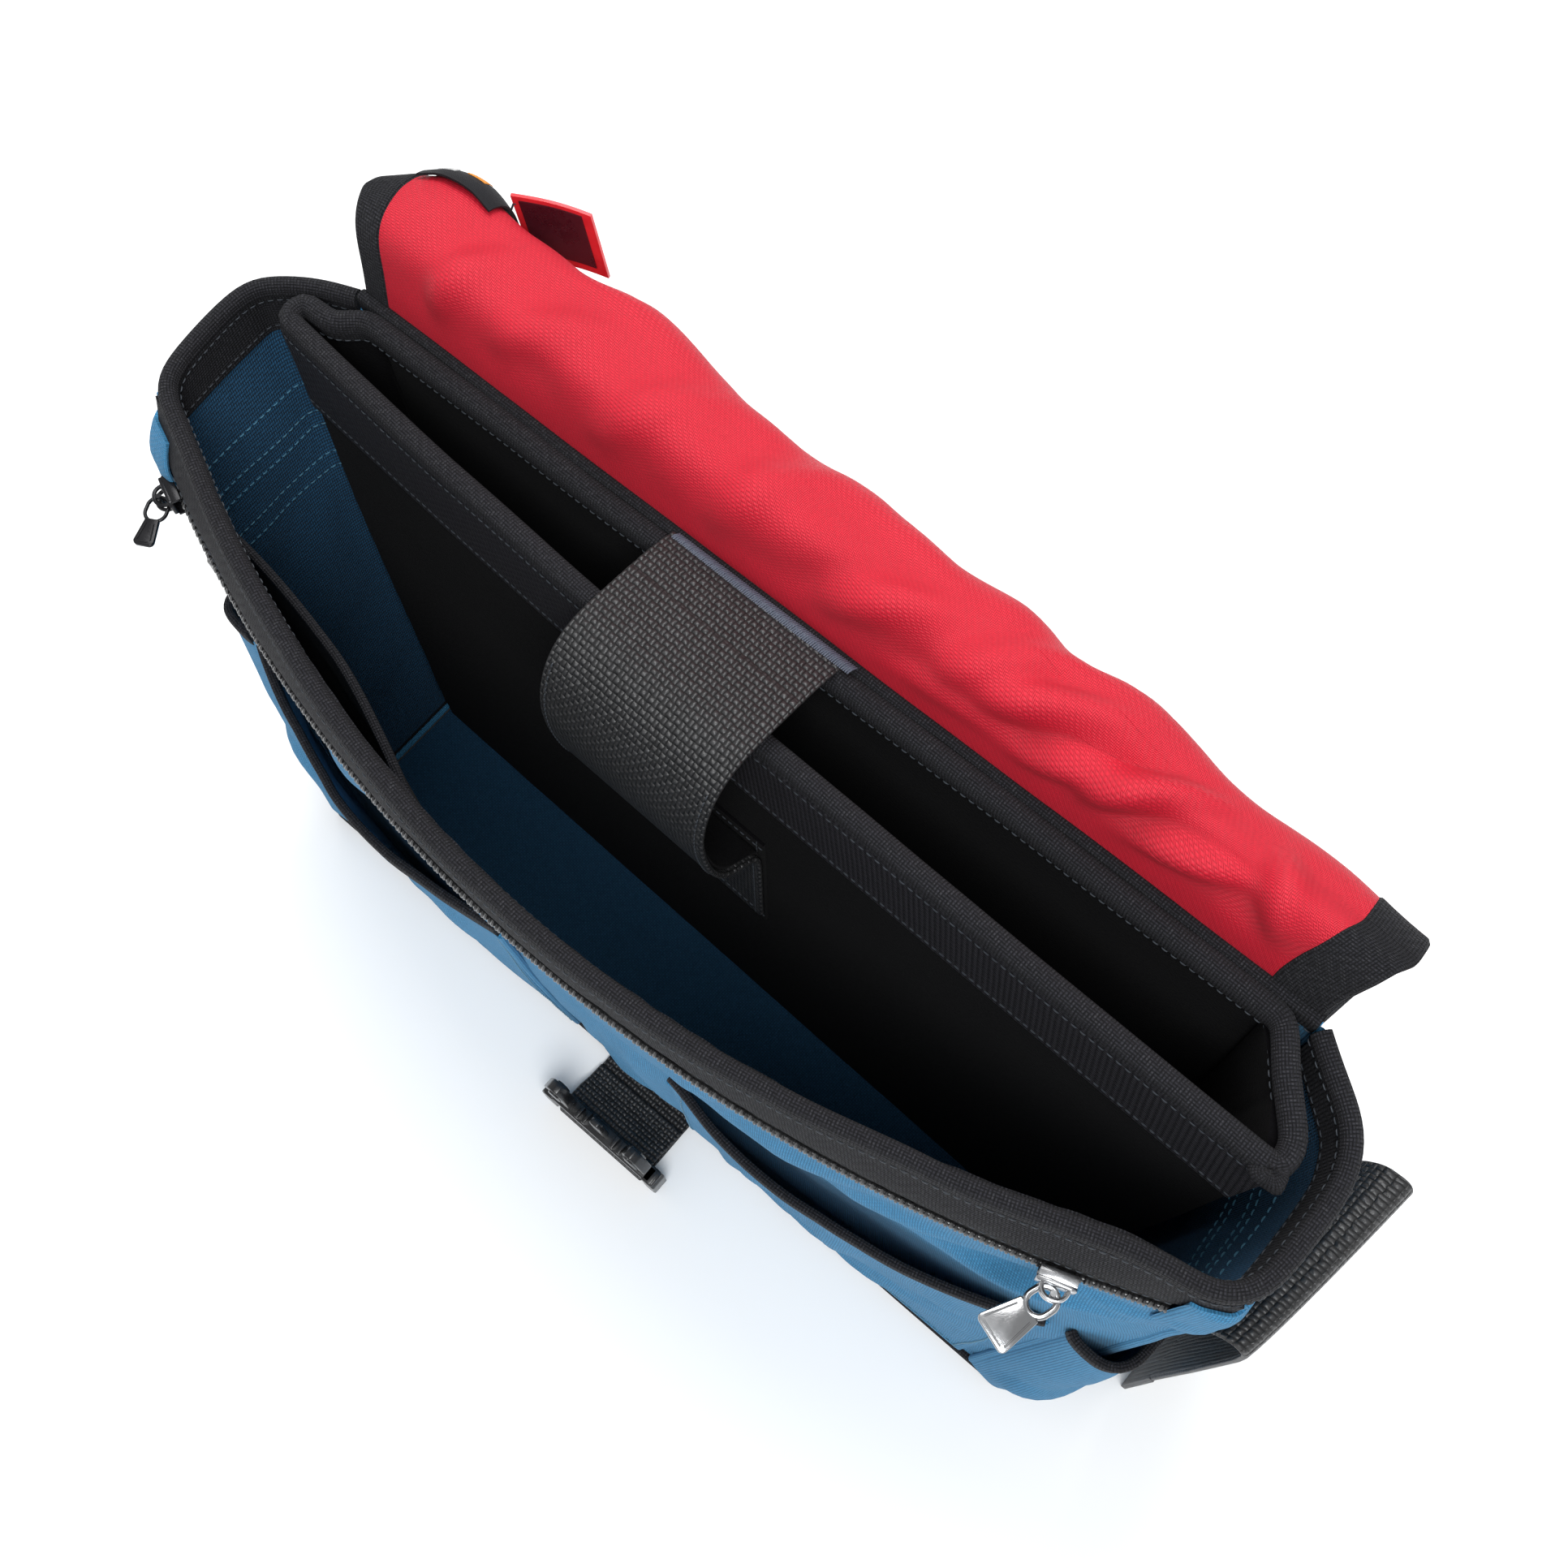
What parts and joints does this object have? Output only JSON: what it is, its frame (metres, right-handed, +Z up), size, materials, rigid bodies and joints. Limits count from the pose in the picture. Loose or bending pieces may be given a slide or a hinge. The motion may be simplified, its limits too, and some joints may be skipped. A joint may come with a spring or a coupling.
{
  "type": "messenger bag",
  "caption": "Open messenger bag with a padded laptop sleeve, zipped front, patch pockets, webbing straps and a lined flap thrown back.",
  "frame": {"origin": "centre of the underside of the base", "axes": "+X to the right along the bag's length seen from its front, +Y from the front to the back, +Z up"},
  "size_m": [0.4988, 0.2093, 0.3228],
  "materials": {
    "blue_cloth": "woven, slightly coated",
    "blue_lining": "woven",
    "red_lining": "smooth nylon twill",
    "black_tape": "woven tape",
    "sleeve_cloth": "brushed",
    "foam": "closed-cell foam under cloth",
    "webbing": "coarse woven webbing",
    "hook_loop": "loop pile",
    "board": "smooth board",
    "buckle_plastic": "moulded",
    "zip_black": "moulded",
    "zip_cloth": "woven tape",
    "zip_metal": "polished",
    "tag_card": "coated card"
  },
  "bodies": {
    "bag": {"base_panel": "blue_cloth", "base_board": "board", "base_lining": "blue_lining", "front_panel_lower_left": "blue_cloth", "front_panel_lower_right": "blue_cloth", "front_panel_upper": "blue_cloth", "front_inner_wall_left": "blue_cloth", "front_inner_wall_right": "blue_cloth", "end_panel_left": "blue_cloth", "end_panel_right": "blue_cloth", "back_panel": "blue_cloth", "rim_binding": "black_tape", "patch_pocket_left": "blue_cloth", "patch_pocket_right": "blue_cloth", "patch_binding_left": "black_tape", "patch_binding_right": "black_tape", "end_pocket_left": "blue_cloth", "end_pocket_right": "blue_cloth", "end_trim_left": "black_tape", "end_trim_right": "black_tape", "organiser_pocket": "black_tape", "organiser_binding": "black_tape", "divider_front_skin": "sleeve_cloth", "divider_foam": "foam", "divider_back_skin": "sleeve_cloth", "divider_band": "black_tape", "sleeve_back_skin": "sleeve_cloth", "sleeve_back_foam": "foam", "sleeve_gusset_left": "sleeve_cloth", "sleeve_gusset_right": "sleeve_cloth", "sleeve_floor_pad": "sleeve_cloth", "sleeve_binding": "black_tape", "loop_patch": "hook_loop", "zip_tape": "zip_cloth", "zip_coil": "zip_black", "strap_end_left": "webbing", "strap_end_right": "webbing", "shoulder_strap": "webbing"},
    "zip_slider_right": {"slider_right": "zip_metal"},
    "zip_pull_right": {"pull_right": "zip_metal"},
    "zip_slider_left": {"slider_left": "zip_black"},
    "zip_pull_left": {"pull_left": "zip_black"},
    "grip_strap": {"grip_strap_root": "webbing"},
    "grip_strap_tip": {"grip_strap_end": "webbing"},
    "flap_riser": {"flap_riser_shell": "blue_cloth", "flap_riser_lining": "red_lining"},
    "flap_crown": {"flap_crown_shell": "blue_cloth", "flap_crown_lining": "red_lining"},
    "flap_top": {"flap_top_shell": "blue_cloth", "flap_top_lining": "red_lining", "flap_label": "black_tape", "hang_tag": "tag_card"},
    "flap_drop": {"flap_drop_shell": "blue_cloth", "flap_drop_lining": "red_lining", "flap_edge_tape": "black_tape", "female_webbing": "webbing", "female_buckle": "buckle_plastic"},
    "front_strap": {"front_webbing": "webbing"},
    "closing_buckle": {"male_buckle": "buckle_plastic"},
    "adjuster": {"strap_adjuster": "buckle_plastic"}
  },
  "joints": [
    {"name": "flap_lift", "type": "hinge", "parent": "bag", "child": "flap_riser", "pos_m": [0, 0.061, 0.293], "axis": [1, 0, 0], "range_deg": [0, 78]},
    {"name": "flap_roll", "type": "hinge", "parent": "flap_riser", "child": "flap_crown", "pos_m": [0, 0.07027, 0.32153], "axis": [1, 0, 0], "range_deg": [0, 110.1]},
    {"name": "flap_turn", "type": "hinge", "parent": "flap_crown", "child": "flap_top", "pos_m": [0, 0.10414, 0.31857], "axis": [1, 0, 0], "range_deg": [0, 85.1]},
    {"name": "flap_fold", "type": "hinge", "parent": "flap_top", "child": "flap_drop", "pos_m": [0, 0.11112, 0.2188], "axis": [1, 0, 0], "range_deg": [0, 87.1]},
    {"name": "zip_run_right", "type": "hinge", "parent": "bag", "child": "zip_slider_right", "pos_m": [0, 0.49386, 0.255], "axis": [0, 0, 1], "range_deg": [-37.5, 0]},
    {"name": "pull_swing_right", "type": "hinge", "parent": "zip_slider_right", "child": "zip_pull_right", "pos_m": [0.19153, -0.05001, 0.255], "axis": [0, 0, 1], "range_deg": [-20, 90]},
    {"name": "zip_run_left", "type": "hinge", "parent": "bag", "child": "zip_slider_left", "pos_m": [0, 0.49386, 0.255], "axis": [0, 0, 1], "range_deg": [0, 37.5]},
    {"name": "pull_swing_left", "type": "hinge", "parent": "zip_slider_left", "child": "zip_pull_left", "pos_m": [-0.22159, -0.03847, 0.255], "axis": [0, 0, 1], "range_deg": [-104, 6]},
    {"name": "grip_peel", "type": "hinge", "parent": "bag", "child": "grip_strap", "pos_m": [-0.01627, 0.05447, 0.2945], "axis": [0.9995, -0.0318, 0], "range_deg": [-95, 0]},
    {"name": "grip_curl", "type": "hinge", "parent": "grip_strap", "child": "grip_strap_tip", "pos_m": [-0.01792, 0.00256, 0.2955], "axis": [0.9995, -0.0318, 0], "range_deg": [0, 42.75]},
    {"name": "front_strap_lift", "type": "hinge", "parent": "bag", "child": "front_strap", "pos_m": [0.005, -0.061, 0.0014], "axis": [1, 0, 0], "range_deg": [-70, 0]},
    {"name": "buckle_tilt", "type": "hinge", "parent": "front_strap", "child": "closing_buckle", "pos_m": [0.005, -0.0915, 0.0051], "axis": [1, 0, 0], "range_deg": [0, 70]},
    {"name": "strap_adjust", "type": "slide", "parent": "bag", "child": "adjuster", "axis": [0, 0, 1], "range_m": [-0.04, 0.05]}
  ],
  "couplings": [
    {"joint": "flap_roll", "follows": "flap_lift", "ratio": 1.4103},
    {"joint": "flap_turn", "follows": "flap_lift", "ratio": 1.0897},
    {"joint": "flap_fold", "follows": "flap_lift", "ratio": 1.1154},
    {"joint": "grip_curl", "follows": "grip_peel", "ratio": -0.45},
    {"joint": "buckle_tilt", "follows": "front_strap_lift", "ratio": -1}
  ]
}
